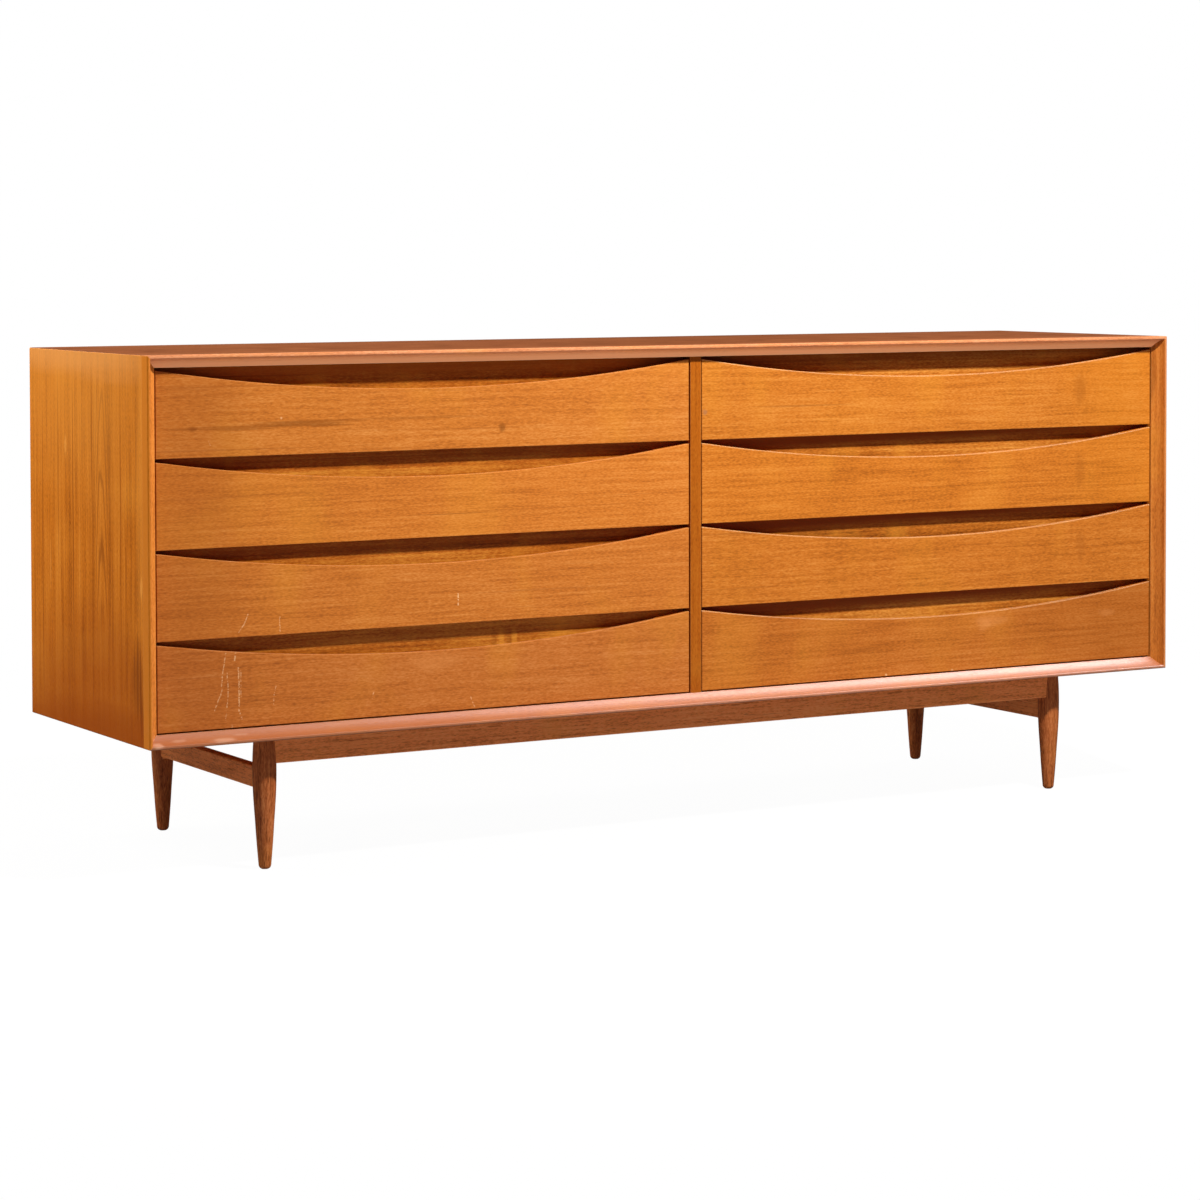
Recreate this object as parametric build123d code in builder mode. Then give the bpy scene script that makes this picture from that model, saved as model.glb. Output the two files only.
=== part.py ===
"""A low teak dresser: a mitred case with two columns of four scooped drawers, on a base of turned legs.

Millimetres. The origin is on the floor, under the middle of the case.
+X runs along the front to the right, +Y runs from the front to the back, +Z is up.
"""

import os
from math import sqrt

from build123d import *

# Case
case_width = 1900.0
case_depth = 480.0
case_height = 578.0
case_round = 2.0
panel_thickness = 19.0
divider_thickness = 20.0
divider_tongue_thickness = 8.0
divider_tongue_depth = 6.0
divider_tongue_setback = 40.0
back_thickness = 8.0
back_rebate = 10.0
panel_play = 0.5

# Solid lippings on the front edges of the case, hollowed towards the drawers
lipping_depth = 22.0
lipping_nose = 5.0
nose_outer_round = 2.2
nose_inner_round = 1.2
cove_depth = 20.0
cove_hollow = 3.5

# Drawer layout
columns = ("left", "right")
row_count = 4
drawer_recess = 1.0
side_gap = 2.2
top_gap = 4.8
bottom_gap = 2.0
row_gap = 5.2

# Drawer front with its scooped top edge and the hollow behind the lip
front_thickness = 18.0
front_round = 1.0
scoop_dip = 35.0
scoop_land = 4.0
scoop_blend = 30.0
lip_thickness = 7.0
hollow_depth = 18.0
hollow_margin = 60.0
hollow_corner = 12.0

# Drawer box
drawer_back_gap = 31.0
inner_front_thickness = 14.0
inner_front_clearance = 0.8
side_thickness = 14.0
side_height = 96.0
side_lift = 12.0
side_top_round = 2.0
drawer_back_thickness = 12.0
bottom_thickness = 6.0
bottom_lift = 8.0
bottom_groove = 6.0
bottom_play = 0.2

# Dovetails at the corners of the drawer box; the middle one is wider than the runner groove
tail_count = 3
tail_root = 15.0
tail_tip = 20.0

# Runners on the case walls, in grooves of the drawer sides
runner_height = 12.0
runner_width = 8.0
runner_play = 0.3
runner_groove_depth = 7.0
runner_stop = 12.0
runner_stop_play = 0.5
runner_back_gap = 10.0

# Base
base_height = 202.0
leg_end_inset = 210.0
front_leg_inset = 60.0
rear_leg_inset = 26.0
foot_radius = 9.0
foot_round = 3.5
shin_radius = 14.0
shin_height = 64.0
belly_radius = 18.2
belly_height = 150.0
leg_top_radius = 16.0
rail_thickness = 24.0
rail_height = 42.0
stretcher_thickness = 18.0
stretcher_height = 33.0
stretcher_drop = 48.0
stretcher_flare = 9.0
flare_land = 4.0
bar_round = 2.5
bar_shoulder = 11.0
tenon_thickness = 9.0
tenon_length = 14.0
tenon_setback = 5.0

# Countersunk wood screws in the back panel and in the base rails
screw_length = 30.0
screw_head_radius = 3.75
screw_radius = 2.0
screw_tip = 5.0
screw_slot_width = 0.9
screw_slot_depth = 1.0
screw_clearance = 0.15
screw_grip = 18.0
counterbore_radius = 5.0
back_screw_edge = 5.0
back_screw_columns = 6
back_screw_rows = 2
rail_screw_count = 3

# Places worked out from the sizes above
front_y = -case_depth / 2
back_y = case_depth / 2
case_bottom = base_height
case_top = base_height + case_height
case_middle = case_bottom + case_height / 2
inner_width = case_width - 2 * panel_thickness
inner_height = case_height - 2 * panel_thickness
back_panel_y = back_y - back_thickness
divider_front = front_y + cove_depth
tongue_front = divider_front + divider_tongue_setback
drawer_face = divider_front + drawer_recess
drawer_depth = back_panel_y - drawer_back_gap - drawer_face

opening_width = (inner_width - divider_thickness) / 2
column_offset = (divider_thickness + opening_width) / 2
front_width = opening_width - 2 * side_gap
front_height = (inner_height - top_gap - bottom_gap - (row_count - 1) * row_gap) / row_count
row_pitch = front_height + row_gap
lowest_front = case_bottom + panel_thickness + bottom_gap

# Drawer places, measured back from the face and up from the lower edge of the front
inner_front_back = front_thickness + inner_front_thickness
drawer_back_front = drawer_depth - drawer_back_thickness
side_top = side_lift + side_height
inner_front_top = front_height + min(top_gap, row_gap) - inner_front_clearance
bottom_under = side_lift + bottom_lift
bottom_top = bottom_under + bottom_thickness
box_inside = front_width - 2 * side_thickness
tail_pitch = (side_top - bottom_top) / tail_count
runner_centre = bottom_top + tail_pitch * tail_count / 2
groove_start = inner_front_back + runner_stop
scoop_half = front_width / 2 - scoop_land
scoop_radius = (scoop_half**2 + scoop_dip**2) / (2 * scoop_dip)

leg_span = case_width - 2 * leg_end_inset
leg_x = leg_span / 2
front_leg_y = front_y + front_leg_inset
rear_leg_y = back_y - rear_leg_inset
rail_middle = base_height - rail_height / 2
stretcher_middle = base_height - stretcher_drop - stretcher_height / 2

os.makedirs("parts", exist_ok=True)


def save(piece, name):
    """Label a finished piece and write it as one file."""
    piece.part.label = name
    export_step(piece.part, f"parts/{name}.step")


def scoop_level(x, drop=0.0):
    """Height of the scoop's arc above the front's lower edge, at x from the middle, moved down by drop."""
    lowest = front_height - scoop_dip - drop
    return lowest + scoop_radius - sqrt(scoop_radius**2 - x**2)


def screw_outline(spare):
    """Half section of a countersunk screw, point down, with its head level with the sketch's x axis."""
    head = screw_head_radius + spare
    shank = screw_radius + spare
    with BuildLine() as outline:
        Polyline(
            (0, 0),
            (head, 0),
            (shank, shank - head),
            (shank, screw_tip - screw_length),
            (0, -screw_length - spare),
            close=True,
        )
    make_face(outline.edges())


def spread(count, length):
    """Middles of equal shares of a length, measured from its centre."""
    return [(i + 0.5) * length / count - length / 2 for i in range(count)]


# Screw places: the head's plane, facing out of the wood
screw_edge_x = inner_width / 2 + back_screw_edge
screw_edge_z = inner_height / 2 + back_screw_edge
screw_xs = spread(back_screw_columns, inner_width)
screw_zs = spread(back_screw_rows, inner_height)
back_screw_places = [(x, edge) for x in screw_xs for edge in (-screw_edge_z, screw_edge_z)]
back_screw_places += [(edge, z) for z in screw_zs for edge in (-screw_edge_x, screw_edge_x)]
back_screw_planes = [Plane((x, back_y, case_middle + z), z_dir=(0, 1, 0)) for x, z in back_screw_places]
rail_screw_planes = [
    Plane((x, y, base_height - screw_grip), z_dir=(0, 0, -1))
    for x in spread(rail_screw_count, leg_span)
    for y in (front_leg_y, rear_leg_y)
]
screw_planes = back_screw_planes + rail_screw_planes

# The space that one screw takes in the wood
with BuildPart() as screw_hole:
    with BuildSketch(Plane.XZ):
        screw_outline(screw_clearance)
    revolve(axis=Axis.Z)

# One screw with its slotted head
with BuildPart() as screw:
    with BuildSketch(Plane.XZ):
        screw_outline(0)
    revolve(axis=Axis.Z)
    with BuildSketch(Plane.XY):
        Rectangle(2 * screw_head_radius, screw_slot_width)
    extrude(amount=-screw_slot_depth, mode=Mode.SUBTRACT)

with BuildPart() as wood_screws:
    with Locations(*screw_planes):
        add(screw.part)
save(wood_screws, "wood_screws")


# Case boards: the name, a plane on the outer face with x along the board and y outwards, and the length
boards = [
    ("top", Plane((0, 0, case_top), x_dir=(1, 0, 0), z_dir=(0, -1, 0)), case_width),
    ("bottom", Plane((0, 0, case_bottom), x_dir=(-1, 0, 0), z_dir=(0, -1, 0)), case_width),
    ("left", Plane((-case_width / 2, 0, case_middle), x_dir=(0, 0, 1), z_dir=(0, -1, 0)), case_height),
    ("right", Plane((case_width / 2, 0, case_middle), x_dir=(0, 0, -1), z_dir=(0, -1, 0)), case_height),
]


def mitred_outline(length):
    """Outline of a case board seen from the front, with both ends cut at 45 degrees."""
    with BuildLine() as outline:
        Polyline(
            (-length / 2, 0),
            (length / 2, 0),
            (length / 2 - panel_thickness, -panel_thickness),
            (panel_thickness - length / 2, -panel_thickness),
            close=True,
        )
    make_face(outline.edges())


def lipping_outline():
    """Section of a lipping: x runs back from the nose and y outwards from the outer face of the case."""
    nose_inside = (0, -lipping_nose)
    cove_end = (cove_depth, -panel_thickness)
    cove_height = panel_thickness - lipping_nose
    cove_chord = sqrt(cove_depth**2 + cove_height**2)
    cove_middle = (
        cove_depth / 2 + cove_hollow * cove_height / cove_chord,
        -(lipping_nose + panel_thickness) / 2 + cove_hollow * cove_depth / cove_chord,
    )
    with BuildLine() as outline:
        ThreePointArc(nose_inside, cove_middle, cove_end)
        Polyline(cove_end, (lipping_depth, -panel_thickness), (lipping_depth, 0), (0, 0), nose_inside)
    make_face(outline.edges())
    nose_share = min(1, 0.9 * lipping_nose / (nose_outer_round + nose_inner_round))
    fillet(vertices().sort_by_distance((0, 0))[0], nose_share * nose_outer_round)
    fillet(vertices().sort_by_distance(nose_inside)[0], nose_share * nose_inner_round)


def round_case_corners():
    """Take the sharp edge off the four outer corners of the case."""
    with BuildSketch(Plane((0, 0, case_middle), x_dir=(1, 0, 0), z_dir=(0, -1, 0))) as case_outline:
        RectangleRounded(case_width, case_height, case_round)
    extrude(case_outline.sketch, amount=case_depth / 2, both=True, mode=Mode.INTERSECT)


for name, outside, length in boards:
    upright = name in ("left", "right")
    with BuildPart() as panel:
        with BuildSketch(outside.offset(-back_y)):
            mitred_outline(length)
        extrude(amount=case_depth - lipping_depth)
        round_case_corners()
        with Locations((0, back_y - back_thickness / 2, case_middle)):
            Box(
                inner_width + 2 * back_rebate,
                back_thickness,
                inner_height + 2 * back_rebate,
                mode=Mode.SUBTRACT,
            )
        if not upright:
            with BuildSketch(outside.offset(-back_y)):
                with Locations((0, divider_tongue_depth / 2 - panel_thickness)):
                    Rectangle(divider_tongue_thickness, divider_tongue_depth)
            extrude(amount=back_y - tongue_front, mode=Mode.SUBTRACT)
        with Locations(*screw_planes):
            add(screw_hole.part, mode=Mode.SUBTRACT)
    save(panel, f"{name}_side" if upright else f"{name}_panel")

    with BuildPart() as lipping:
        with BuildSketch(Plane(outside.origin + (0, front_y, 0), x_dir=(0, 1, 0), z_dir=outside.x_dir)):
            lipping_outline()
        extrude(amount=length / 2, both=True)
        with BuildSketch(outside):
            mitred_outline(length)
        extrude(amount=case_depth / 2, both=True, mode=Mode.INTERSECT)
        round_case_corners()
    save(lipping, f"{name}_lipping")

with BuildPart() as back_panel:
    with Locations((0, back_y - back_thickness / 2, case_middle)):
        Box(
            inner_width + 2 * (back_rebate - panel_play),
            back_thickness,
            inner_height + 2 * (back_rebate - panel_play),
        )
    with Locations(*back_screw_planes):
        add(screw_hole.part, mode=Mode.SUBTRACT)
save(back_panel, "back_panel")

with BuildPart() as centre_divider:
    with BuildSketch(Plane.XY.offset(case_middle)):
        with Locations((0, (divider_front + back_panel_y) / 2)):
            Rectangle(divider_thickness, back_panel_y - divider_front)
    extrude(amount=inner_height / 2, both=True)
    with BuildSketch(Plane.XY.offset(case_middle)):
        with Locations((0, (tongue_front + back_panel_y) / 2)):
            Rectangle(divider_tongue_thickness, back_panel_y - tongue_front)
    extrude(amount=inner_height / 2 + divider_tongue_depth, both=True)
save(centre_divider, "centre_divider")


def drawer_corner(row, column):
    """Lower middle of a drawer's front face; row 0 is the top one."""
    side = -1 if column == "left" else 1
    return Vector(side * column_offset, drawer_face, lowest_front + (row_count - 1 - row) * row_pitch)


drawers = [(column, row, drawer_corner(row, column)) for column in columns for row in range(row_count)]

# One runner on each wall beside each drawer
with BuildPart() as drawer_runners:
    runner_start = groove_start + runner_stop_play
    runner_end = back_panel_y - runner_back_gap - drawer_face
    for column, row, corner in drawers:
        for hand in (-1, 1):
            wall = hand * (opening_width / 2)
            with BuildSketch(Plane(corner + (wall, 0, 0), x_dir=(0, 1, 0), z_dir=(1, 0, 0))):
                with Locations(((runner_start + runner_end) / 2, runner_centre)):
                    Rectangle(runner_end - runner_start, runner_height)
            extrude(amount=-hand * runner_width)
save(drawer_runners, "drawer_runners")


def tail_outlines(root, tip):
    """The dovetails of a drawer side, from the joint line at root to their wide ends at tip."""
    for i in range(tail_count):
        level = bottom_top + (i + 0.5) * tail_pitch
        with BuildLine() as tail:
            Polyline(
                (root, level - tail_root / 2),
                (root, level + tail_root / 2),
                (tip, level + tail_tip / 2),
                (tip, level - tail_tip / 2),
                close=True,
            )
        make_face(tail.edges())


def cut_tail_sockets(corner, root, tip):
    """Cut the sockets for the dovetails of both drawer sides."""
    for hand in (-1, 1):
        with BuildSketch(side_plane(corner, hand)) as tails:
            tail_outlines(root, tip)
        extrude(tails.sketch, amount=-hand * side_thickness, mode=Mode.SUBTRACT)


def face_plane(corner, back=0.0):
    """A plane parallel to a drawer's face, at a distance behind it, looking forward."""
    return Plane(corner + (0, back, 0), x_dir=(1, 0, 0), z_dir=(0, -1, 0))


def side_plane(corner, hand):
    """The outer face of a drawer side: x runs back from the drawer's face and y runs up."""
    return Plane(corner + (hand * front_width / 2, 0, 0), x_dir=(0, 1, 0), z_dir=(1, 0, 0))


for column, row, corner in drawers:
    drawer = f"{column}_drawer_{row + 1}"

    with BuildPart() as front:
        with BuildSketch(face_plane(corner)):
            with BuildLine():
                ThreePointArc(
                    (-scoop_half, front_height), (0, front_height - scoop_dip), (scoop_half, front_height)
                )
                Polyline(
                    (scoop_half, front_height),
                    (front_width / 2, front_height),
                    (front_width / 2, 0),
                    (-front_width / 2, 0),
                    (-front_width / 2, front_height),
                    (-scoop_half, front_height),
                )
            make_face()
            scoop_ends = vertices().group_by(Axis.Y)[-1].sort_by(Axis.X)[1:3]
            fillet(scoop_ends, scoop_blend)
        extrude(amount=-front_thickness)
        with BuildSketch(face_plane(corner, front_thickness)):
            hollow_half = front_width / 2 - hollow_margin
            hollow_end = scoop_level(hollow_half, hollow_depth)
            with BuildLine():
                ThreePointArc(
                    (-hollow_half, hollow_end), (0, scoop_level(0, hollow_depth)), (hollow_half, hollow_end)
                )
                Polyline(
                    (hollow_half, hollow_end),
                    (hollow_half, front_height),
                    (-hollow_half, front_height),
                    (-hollow_half, hollow_end),
                )
            make_face()
            fillet(vertices().group_by(Axis.Y)[0], hollow_corner)
        extrude(amount=front_thickness - lip_thickness, mode=Mode.SUBTRACT)
        fillet(faces().sort_by(Axis.Y)[0].edges(), front_round)
    save(front, f"{drawer}_front")

    with BuildPart() as inner_front:
        with BuildSketch(face_plane(corner, front_thickness)):
            with Locations((0, (side_lift + inner_front_top) / 2)):
                Rectangle(front_width, inner_front_top - side_lift)
        extrude(amount=-inner_front_thickness)
        cut_tail_sockets(corner, inner_front_back, front_thickness)
        with BuildSketch(face_plane(corner, inner_front_back)):
            with Locations((0, (bottom_under + bottom_top + bottom_play) / 2)):
                Rectangle(box_inside, bottom_thickness + bottom_play)
        extrude(amount=bottom_groove, mode=Mode.SUBTRACT)
    save(inner_front, f"{drawer}_inner_front")

    with BuildPart() as sides:
        for hand in (-1, 1):
            outer = side_plane(corner, hand)
            with BuildSketch(outer):
                with Locations(((inner_front_back + drawer_back_front) / 2, (side_lift + side_top) / 2)):
                    Rectangle(drawer_back_front - inner_front_back, side_height)
                with Locations(((drawer_back_front + drawer_depth) / 2, (side_lift + bottom_top) / 2)):
                    Rectangle(drawer_back_thickness, bottom_top - side_lift)
                tail_outlines(inner_front_back, front_thickness)
                tail_outlines(drawer_back_front, drawer_depth)
            extrude(amount=-hand * side_thickness)
            with BuildSketch(outer):
                with Locations(((groove_start + drawer_depth) / 2, runner_centre)):
                    Rectangle(drawer_depth - groove_start, runner_height + 2 * runner_play)
            extrude(amount=-hand * runner_groove_depth, mode=Mode.SUBTRACT)
            with BuildSketch(outer.offset(-hand * side_thickness)):
                with Locations(
                    ((inner_front_back + drawer_depth) / 2, (bottom_under + bottom_top + bottom_play) / 2)
                ):
                    Rectangle(drawer_depth - inner_front_back, bottom_thickness + bottom_play)
            extrude(amount=hand * bottom_groove, mode=Mode.SUBTRACT)
        fillet(edges().filter_by(Axis.Y).group_by(Axis.Z)[-1], side_top_round)
    save(sides, f"{drawer}_sides")

    with BuildPart() as drawer_back:
        with BuildSketch(face_plane(corner, drawer_depth)):
            with Locations((0, (bottom_top + bottom_play + side_top) / 2)):
                Rectangle(front_width, side_top - bottom_top - bottom_play)
        extrude(amount=drawer_back_thickness)
        cut_tail_sockets(corner, drawer_back_front, drawer_depth)
    save(drawer_back, f"{drawer}_back")

    with BuildPart() as drawer_bottom:
        with BuildSketch(Plane(corner + (0, 0, bottom_under))):
            with Locations((0, (inner_front_back + drawer_depth) / 2)):
                Rectangle(box_inside + 2 * (bottom_groove - panel_play), drawer_depth - inner_front_back)
            with Locations((0, inner_front_back - (bottom_groove - panel_play) / 2)):
                Rectangle(box_inside - 2 * panel_play, bottom_groove - panel_play)
        extrude(amount=bottom_thickness)
    save(drawer_bottom, f"{drawer}_bottom")


def add_tenons(plane, span, height):
    """Put a tenon on both ends of a bar between two legs; the plane cuts the bar in the middle."""
    for hand in (-1, 1):
        end = plane.offset(hand * (span / 2 - bar_shoulder))
        with BuildSketch(end) as tenon:
            Rectangle(tenon_thickness, height - 2 * tenon_setback)
        extrude(tenon.sketch, amount=hand * tenon_length)


def bore_screw_holes():
    """Holes for the screws that hold a rail to the case, with room for the driver from below."""
    with Locations(*rail_screw_planes):
        add(screw_hole.part, mode=Mode.SUBTRACT)
        Cylinder(
            counterbore_radius,
            rail_height - screw_grip,
            align=(Align.CENTER, Align.CENTER, Align.MIN),
            mode=Mode.SUBTRACT,
        )


bars = []
for end, y in (("front", front_leg_y), ("rear", rear_leg_y)):
    with BuildPart() as rail:
        middle = Plane((0, y, rail_middle), x_dir=(0, 1, 0), z_dir=(1, 0, 0))
        with BuildSketch(middle):
            Rectangle(rail_thickness, rail_height)
            fillet(vertices().group_by(Axis.Y)[0], bar_round)
        extrude(amount=leg_span / 2 - bar_shoulder, both=True)
        add_tenons(middle, leg_span, rail_height)
        bore_screw_holes()
    save(rail, f"{end}_rail")
    bars.append(rail)

# Side stretchers, which flare out a little where they run into the legs
half_way = (front_leg_y + rear_leg_y) / 2
stretcher_span = rear_leg_y - front_leg_y
stretcher_half = stretcher_span / 2 - bar_shoulder
flare_middle = stretcher_half - flare_land / 2
for side, x in (("left", -leg_x), ("right", leg_x)):
    with BuildPart() as stretcher:
        middle = Plane((x, half_way, stretcher_middle), x_dir=(-1, 0, 0), z_dir=(0, 1, 0))
        with BuildSketch(middle):
            RectangleRounded(stretcher_thickness, stretcher_height, bar_round)
        extrude(amount=stretcher_half, both=True)
        with BuildSketch(Plane((x, half_way, stretcher_middle), x_dir=(0, 1, 0), z_dir=(1, 0, 0))):
            Rectangle(2 * stretcher_half, stretcher_height)
            with Locations((-flare_middle, 0), (flare_middle, 0)):
                Rectangle(flare_land, stretcher_height + 2 * (stretcher_flare + flare_land))
            fillet(vertices().sort_by_distance((0, 0))[:4], stretcher_flare)
        extrude(amount=stretcher_thickness / 2 - bar_round, both=True)
        add_tenons(middle, stretcher_span, stretcher_height)
    save(stretcher, f"{side}_stretcher")
    bars.append(stretcher)

for end, y in (("front", front_leg_y), ("rear", rear_leg_y)):
    for side, x in (("left", -leg_x), ("right", leg_x)):
        with BuildPart() as leg:
            with BuildSketch(Plane((x, y, 0), x_dir=(1, 0, 0), z_dir=(0, -1, 0))):
                with BuildLine():
                    Spline(
                        (foot_radius, 0),
                        (shin_radius, shin_height),
                        (belly_radius, belly_height),
                        (leg_top_radius, base_height),
                    )
                    Polyline((leg_top_radius, base_height), (0, base_height), (0, 0), (foot_radius, 0))
                make_face()
                fillet(vertices().group_by(Axis.Y)[0].sort_by(Axis.X)[-1], foot_round)
            revolve(axis=Axis((x, y, 0), (0, 0, 1)))
            for bar in bars:
                add(bar.part, mode=Mode.SUBTRACT)
        save(leg, f"{end}_{side}_leg")
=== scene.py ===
# %% [markdown]
# # An oiled teak dresser with scooped drawers
#
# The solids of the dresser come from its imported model: the case, the drawers, the joints and the base. This
# lesson dresses them. It sets up a camera and plain studio light, builds the finishes of an old oiled teak
# piece out of shader nodes, and makes the turned legs and the screws with Geometry Nodes. Everything is in
# metres: +X runs along the front to the right, +Y from the front to the back, and +Z is up.

from math import pi, radians

import bpy
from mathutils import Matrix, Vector


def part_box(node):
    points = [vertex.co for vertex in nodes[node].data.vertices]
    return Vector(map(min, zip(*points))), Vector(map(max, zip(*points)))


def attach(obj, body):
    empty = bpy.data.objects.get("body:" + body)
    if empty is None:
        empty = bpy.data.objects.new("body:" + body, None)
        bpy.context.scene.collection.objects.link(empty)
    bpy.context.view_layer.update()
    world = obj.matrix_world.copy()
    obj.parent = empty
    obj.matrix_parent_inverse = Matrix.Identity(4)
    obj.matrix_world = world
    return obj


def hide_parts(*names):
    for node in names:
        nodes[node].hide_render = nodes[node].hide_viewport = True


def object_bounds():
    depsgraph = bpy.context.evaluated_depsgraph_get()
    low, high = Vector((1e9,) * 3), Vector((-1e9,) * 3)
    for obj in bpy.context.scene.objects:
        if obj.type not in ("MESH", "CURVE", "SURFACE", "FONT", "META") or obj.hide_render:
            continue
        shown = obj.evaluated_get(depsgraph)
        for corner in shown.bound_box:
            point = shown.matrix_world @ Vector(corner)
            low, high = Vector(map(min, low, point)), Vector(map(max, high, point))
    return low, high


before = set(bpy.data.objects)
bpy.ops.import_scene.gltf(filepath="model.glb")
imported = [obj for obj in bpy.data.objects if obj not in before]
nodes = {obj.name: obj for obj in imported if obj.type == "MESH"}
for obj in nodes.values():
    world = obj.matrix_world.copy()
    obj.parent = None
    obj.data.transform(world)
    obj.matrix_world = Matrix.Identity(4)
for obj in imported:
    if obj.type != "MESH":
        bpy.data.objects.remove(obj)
scene = bpy.context.scene
cad_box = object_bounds()

# %% [markdown]
# ## Camera
#
# The picture was taken with a long lens from the left of the dresser's middle, a little above its top. The
# camera is almost level, so that upright edges stay upright, and a lens shift moves the view down, where a
# tilt would make them lean.

# %% Camera
VIEW_PLACE = (-2.8515, -4.827, 0.9365)
VIEW_TURN, VIEW_DIP, VIEW_ROLL = 30.14, 2.09, 0.11
LEVEL = 90
LENS, SENSOR = 101.6, 36.0
LENS_SHIFT = -0.1912

camera = bpy.data.objects.new("camera", bpy.data.cameras.new("camera"))
camera.location = VIEW_PLACE
camera.rotation_euler = (radians(LEVEL - VIEW_DIP), radians(VIEW_ROLL), radians(-VIEW_TURN))
camera.data.lens = LENS
camera.data.sensor_width = SENSOR
camera.data.shift_y = LENS_SHIFT
scene.collection.objects.link(camera)
scene.camera = camera
print("camera", LENS, "mm, turned", VIEW_TURN, "degrees")

# %% [markdown]
# ## Short ways to write nodes
#
# Node trees are long when every node takes five lines. This small class adds a node, feeds its inputs with
# sockets or plain values, and gives back the output, so that a formula reads nearly as it would on paper. It
# serves shader trees and Geometry Nodes trees alike.

# %% Node helpers
NOISE_MIDDLE = 0.5


class Graph:
    """Adds nodes to a tree. Most calls return the output socket of the new node."""

    def __init__(self, tree):
        self.tree = tree

    def feed(self, socket, value):
        if isinstance(value, bpy.types.NodeSocket):
            self.tree.links.new(value, socket)
        else:
            socket.default_value = value

    def fill(self, node, inputs):
        for key, value in dict(inputs).items():
            self.feed(node.inputs[key], value)

    def add(self, kind, inputs=(), out=0, **settings):
        node = self.tree.nodes.new(kind)
        for name, value in settings.items():
            setattr(node, name, value)
        self.fill(node, inputs)
        return node.outputs[out]

    def math(self, operation, *values, clamp=False):
        return self.add("ShaderNodeMath", enumerate(values), operation=operation, use_clamp=clamp)

    def vector(self, operation, *values, out=0):
        return self.add("ShaderNodeVectorMath", enumerate(values), out=out, operation=operation)

    def mix(self, factor, a, b):
        """Mix two colours. A Mix node has its colours at inputs 6 and 7 and at output 2."""
        return self.add("ShaderNodeMix", {0: factor, 6: a, 7: b}, out=2, data_type="RGBA")

    def remap(self, value, low, high, to_low=0.0, to_high=1.0, kind="SMOOTHSTEP"):
        limits = {0: value, 1: low, 2: high, 3: to_low, 4: to_high}
        return self.add("ShaderNodeMapRange", limits, interpolation_type=kind)

    def noise(self, vector, seed=0.0, detail=2.0, distortion=0.0):
        inputs = {"Vector": vector, "W": seed, "Scale": 1.0, "Detail": detail, "Distortion": distortion}
        return self.add("ShaderNodeTexNoise", inputs, noise_dimensions="4D")

    def swing(self, noise):
        """Noise as a swing to both sides of nothing."""
        return self.math("SUBTRACT", noise, NOISE_MIDDLE)

    def split(self, vector):
        return self.add("ShaderNodeSeparateXYZ", {0: vector}).node.outputs

    def join(self, x=0.0, y=0.0, z=0.0):
        return self.add("ShaderNodeCombineXYZ", {0: x, 1: y, 2: z})

    def use(self, group, inputs):
        """Place a node group and return its outputs by name."""
        return self.add("ShaderNodeGroup", inputs, node_tree=group).node.outputs


print("node helper ready")


# %% Groups and colours
def new_group(name, inputs, outputs, tree_kind="ShaderNodeTree"):
    """A group with named sockets. Returns it with its graph, its inputs and its outputs."""
    tree = bpy.data.node_groups.new(name, tree_kind)
    for label, (kind, default) in inputs.items():
        socket = tree.interface.new_socket(label, in_out="INPUT", socket_type="NodeSocket" + kind)
        if default is not None:
            socket.default_value = default
    for label, kind in outputs.items():
        tree.interface.new_socket(label, in_out="OUTPUT", socket_type="NodeSocket" + kind)
    entry = tree.nodes.new("NodeGroupInput")
    leave = tree.nodes.new("NodeGroupOutput")
    return tree, Graph(tree), entry.outputs, leave.inputs


def numbers(**defaults):
    """Number inputs for a group, with their defaults."""
    return {label: ("Float", default) for label, default in defaults.items()}


def screen(red, green, blue):
    """A colour as a screen shows it, from 0 to 255, in linear numbers by the standard screen curve."""
    parts = [c / 255 for c in (red, green, blue)]
    linear = [c / 12.92 if c <= 0.04045 else ((c + 0.055) / 1.055) ** 2.4 for c in parts]
    return (*linear, 1.0)


print("groups ready")

# %% [markdown]
# ## Light
#
# One small key lamp, near and high in front and a little to the right, gives each drawer a crisp shadow on
# the board below it. Because it is near, the top drawers are lit more than the bottom ones, and the middle
# more than the ends. Broad lamps off the left and the right open the ends of the case, and one behind lights
# the back. These lamps are left out of reflections, so that the wood keeps its depth without hot spots.
#
# Two more lamps light one piece each, which light linking allows. The first, off the right end, is only
# mirrored, and lays a sheen along the bottom lipping. The second lies low in front, for the light that a
# bright floor throws up into the hollow of the top lipping.
#
# A weak warm sky fills the rest. It is white only where the camera looks at it, so the ground of the picture
# stays white.

# %% Lamps
LAMPS = {
    "key": dict(place=(0.42, -1.90, 2.72), aim=(0.0, -0.2, 0.45), size=(0.14, 0.14), watts=130),
    "left_fill": dict(place=(-2.4, 0.55, 1.9), aim=(-0.95, 0.0, 0.55), size=(1.2, 1.2), watts=48),
    "right_sheen": dict(place=(2.2, -1.05, 1.9), aim=(0.6, -0.23, 0.2), size=(1.5, 1.8), watts=124),
    "right_fill": dict(place=(2.5, 0.7, 1.7), aim=(0.95, 0.0, 0.5), size=(1.2, 1.2), watts=34),
    "back_fill": dict(place=(-1.8, 3.4, 2.2), aim=(0.0, 0.2, 0.4), size=(2.2, 1.2), watts=60),
    "floor_bounce": dict(place=(0.0, -1.6, 0.05), aim=(0.0, -0.23, 0.77), size=(2.4, 0.6), watts=14.5),
}
ONLY_MIRRORED = "right_sheen"
LIT_ALONE = {"right_sheen": "bottom_lipping", "floor_bounce": "top_lipping"}
LAMP_COLOUR, SHEEN_COLOUR = (1.0, 0.985, 0.96), (1.0, 0.9, 0.92)

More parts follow.
